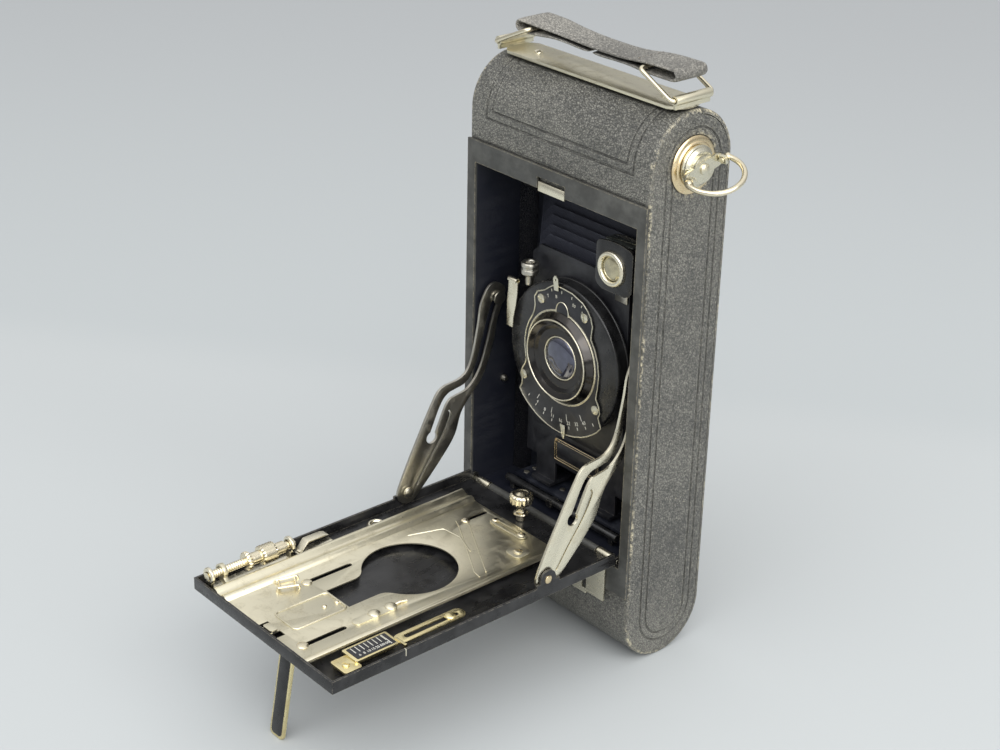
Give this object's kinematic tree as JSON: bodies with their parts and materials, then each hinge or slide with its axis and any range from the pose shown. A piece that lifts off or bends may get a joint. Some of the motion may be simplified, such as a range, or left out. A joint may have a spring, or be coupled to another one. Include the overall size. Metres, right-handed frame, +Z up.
{
  "type": "folding roll-film camera",
  "caption": "Folding roll-film camera standing upright with its bed down: black leather body, bellows, lens and shutter on a sliding standard, folding struts, focusing track and strap.",
  "frame": {"origin": "the middle of the flat strip on the underside of the body, which it stands on", "axes": "+Z up, -Y the way the lens looks, +X towards the winding key"},
  "size_m": [0.1102, 0.1629, 0.2218],
  "materials": {
    "leather": "black grained leather over metal, edges worn",
    "leather_metal": "light metal covered with black grained leather",
    "enamel": "black enamel, semi-gloss",
    "nickel": "nickel plate, warm and worn",
    "polished": "polished nickel plate",
    "brass": "lacquered brass",
    "cloth": "black bellows cloth",
    "glass": "clear, coated by age",
    "ruby": "ruby celluloid",
    "wood": "turned wood with metal end flanges"
  },
  "bodies": {
    "body": {"body_shell": "leather_metal", "front_frame": "enamel", "film_gate": "enamel", "key_flange": "nickel", "strut_stud_left": "nickel", "strut_stud_right": "nickel", "track_floor": "enamel", "cross_tube": "nickel", "hinge_leaf": "nickel", "handle_plate": "nickel", "bellows": "cloth"},
    "back": {"back_cover": "leather_metal", "pressure_plate": "enamel", "red_window": "ruby"},
    "door": {"writing_door": "leather_metal"},
    "roller_top": {"film_roller_top": "nickel"},
    "roller_bottom": {"film_roller_bottom": "nickel"},
    "spool": {"take_up_spool": "wood"},
    "key": {"winding_key": "nickel"},
    "key_loop": {"key_bail": "polished"},
    "strap": {"handle_strap": "leather"},
    "bail_left": {"handle_bail_left": "nickel"},
    "bail_right": {"handle_bail_right": "nickel"},
    "bed": {"bed_tray": "enamel", "bed_hinge_pin": "nickel", "screw_bracket": "nickel", "spring_clip": "nickel", "scale_plate": "brass", "foot_pin": "nickel", "strut_pin_left": "nickel", "strut_pin_right": "nickel"},
    "focus_plate": {"focusing_plate": "nickel"},
    "focus_wheel": {"focusing_wheel": "polished"},
    "knob": {"clamp_knob": "polished"},
    "leg": {"foot_leg": "enamel"},
    "strut_l": {"strut_left": "nickel"},
    "strut_r": {"strut_right": "nickel"},
    "head_l": {"stud_head_left": "polished"},
    "head_r": {"stud_head_right": "polished"},
    "latch": {"bed_latch": "polished"},
    "standard": {"front_standard": "enamel", "lens_board": "enamel", "shutter_housing": "enamel", "shutter_faceplate": "enamel", "front_lens_cell": "enamel", "front_glass": "glass", "rear_lens_cell": "enamel", "rear_glass": "glass", "cable_socket": "nickel", "finder_bracket": "nickel", "name_plate": "enamel"},
    "aperture": {"aperture_lever": "nickel"},
    "speed": {"speed_lever": "nickel"},
    "release": {"release_lever": "nickel"},
    "finder": {"finder_body": "enamel", "finder_ring": "nickel", "finder_glass": "glass"}
  },
  "joints": [
    {"name": "back_off", "type": "slide", "parent": "body", "child": "back", "axis": [0, 1, 0], "range_m": [0, 0.025]},
    {"name": "door_flap", "type": "hinge", "parent": "back", "child": "door", "pos_m": [0, 0.01785, 0.0404], "axis": [1, 0, 0], "range_deg": [0, 110]},
    {"name": "roller_top_spin", "type": "hinge", "parent": "body", "child": "roller_top", "pos_m": [0, 0.0136, 0.1774], "axis": [1, 0, 0], "continuous": true},
    {"name": "roller_bottom_spin", "type": "hinge", "parent": "body", "child": "roller_bottom", "pos_m": [0, 0.0136, 0.0306], "axis": [1, 0, 0], "continuous": true},
    {"name": "key_turn", "type": "hinge", "parent": "body", "child": "key", "pos_m": [0.05, 0, 0.1895], "axis": [1, 0, 0], "continuous": true},
    {"name": "spool_turn", "type": "hinge", "parent": "body", "child": "spool", "pos_m": [0, 0, 0.1895], "axis": [1, 0, 0], "continuous": true},
    {"name": "key_loop_swing", "type": "hinge", "parent": "key", "child": "key_loop", "pos_m": [0.0519, 0, 0.1895], "axis": [0, -0.9548, -0.2974], "range_deg": [-60, 80]},
    {"name": "strap_lift", "type": "slide", "parent": "body", "child": "strap", "axis": [0, 0, 1], "range_m": [0, 0.006]},
    {"name": "bail_left_swing", "type": "hinge", "parent": "body", "child": "bail_left", "pos_m": [-0.043, 0, 0.212], "axis": [0, -1, 0], "range_deg": [0, 26]},
    {"name": "bail_right_swing", "type": "hinge", "parent": "body", "child": "bail_right", "pos_m": [0.043, 0, 0.212], "axis": [0, 1, 0], "range_deg": [0, 28]},
    {"name": "bed_fold", "type": "hinge", "parent": "body", "child": "bed", "pos_m": [0, -0.0191, 0.0435], "axis": [-1, 0, 0], "range_deg": [0, 90]},
    {"name": "strut_left_swing", "type": "hinge", "parent": "bed", "child": "strut_l", "pos_m": [-0.0384, -0.0528, 0.0495], "axis": [1, 0, 0], "range_deg": [0, 118.1]},
    {"name": "strut_right_swing", "type": "hinge", "parent": "bed", "child": "strut_r", "pos_m": [0.0384, -0.0528, 0.0495], "axis": [1, 0, 0], "range_deg": [0, 118.1]},
    {"name": "stud_left_run", "type": "slide", "parent": "strut_l", "child": "head_l", "axis": [0, 0.5383, 0.8427], "range_m": [-0.0402, 0]},
    {"name": "stud_right_run", "type": "slide", "parent": "strut_r", "child": "head_r", "axis": [0, 0.5383, 0.8427], "range_m": [-0.0402, 0]},
    {"name": "standard_run", "type": "slide", "parent": "body", "child": "standard", "axis": [0, 1, 0], "range_m": [-0.09, 0], "deforming": ["bellows"]},
    {"name": "focus_travel", "type": "slide", "parent": "bed", "child": "focus_plate", "axis": [0, 1, 0], "range_m": [0, 0.004]},
    {"name": "focus_wheel_turn", "type": "hinge", "parent": "bed", "child": "focus_wheel", "pos_m": [-0.034, -0.1183, 0.05], "axis": [0, 1, 0], "range_deg": [0, 720]},
    {"name": "knob_turn", "type": "hinge", "parent": "bed", "child": "knob", "pos_m": [-0.0037, -0.0268, 0.05], "axis": [0, 0, 1], "range_deg": [0, 120]},
    {"name": "leg_fold", "type": "hinge", "parent": "bed", "child": "leg", "pos_m": [-0.0015, -0.1312, 0.0409], "axis": [1, 0, 0], "range_deg": [0, 99]},
    {"name": "latch_lift", "type": "slide", "parent": "body", "child": "latch", "axis": [0, 0, 1], "range_m": [0, 0.0012], "stiffness_N_per_m": 120, "springref_m": -0.001},
    {"name": "aperture_set", "type": "hinge", "parent": "standard", "child": "aperture", "pos_m": [0, -0.0134, 0.1068], "axis": [0, 1, 0], "range_deg": [-22, 22]},
    {"name": "speed_set", "type": "hinge", "parent": "standard", "child": "speed", "pos_m": [0, -0.0134, 0.1068], "axis": [0, 1, 0], "range_deg": [-18, 18]},
    {"name": "release_press", "type": "hinge", "parent": "standard", "child": "release", "pos_m": [-0.0272, -0.0134, 0.1114], "axis": [0, 1, 0], "range_deg": [-8, 0], "stiffness_Nm_per_rad": 0.002, "springref_deg": 8.59},
    {"name": "finder_swing", "type": "hinge", "parent": "standard", "child": "finder", "pos_m": [0.0257, -0.008, 0.1515], "axis": [0, 1, 0], "range_deg": [0, 90]}
  ],
  "couplings": [
    {"joint": "spool_turn", "follows": "key_turn", "ratio": 1},
    {"joint": "bail_left_swing", "follows": "strap_lift", "rad_per_m": 71.849},
    {"joint": "bail_right_swing", "follows": "strap_lift", "rad_per_m": 78.54},
    {"joint": "strut_left_swing", "follows": "bed_fold", "ratio": 1.3118},
    {"joint": "strut_right_swing", "follows": "bed_fold", "ratio": 1.3118},
    {"joint": "stud_left_run", "follows": "bed_fold", "m_per_rad": -0.02553},
    {"joint": "stud_right_run", "follows": "bed_fold", "m_per_rad": -0.02553},
    {"joint": "focus_wheel_turn", "follows": "focus_travel", "rad_per_m": 3141}
  ]
}
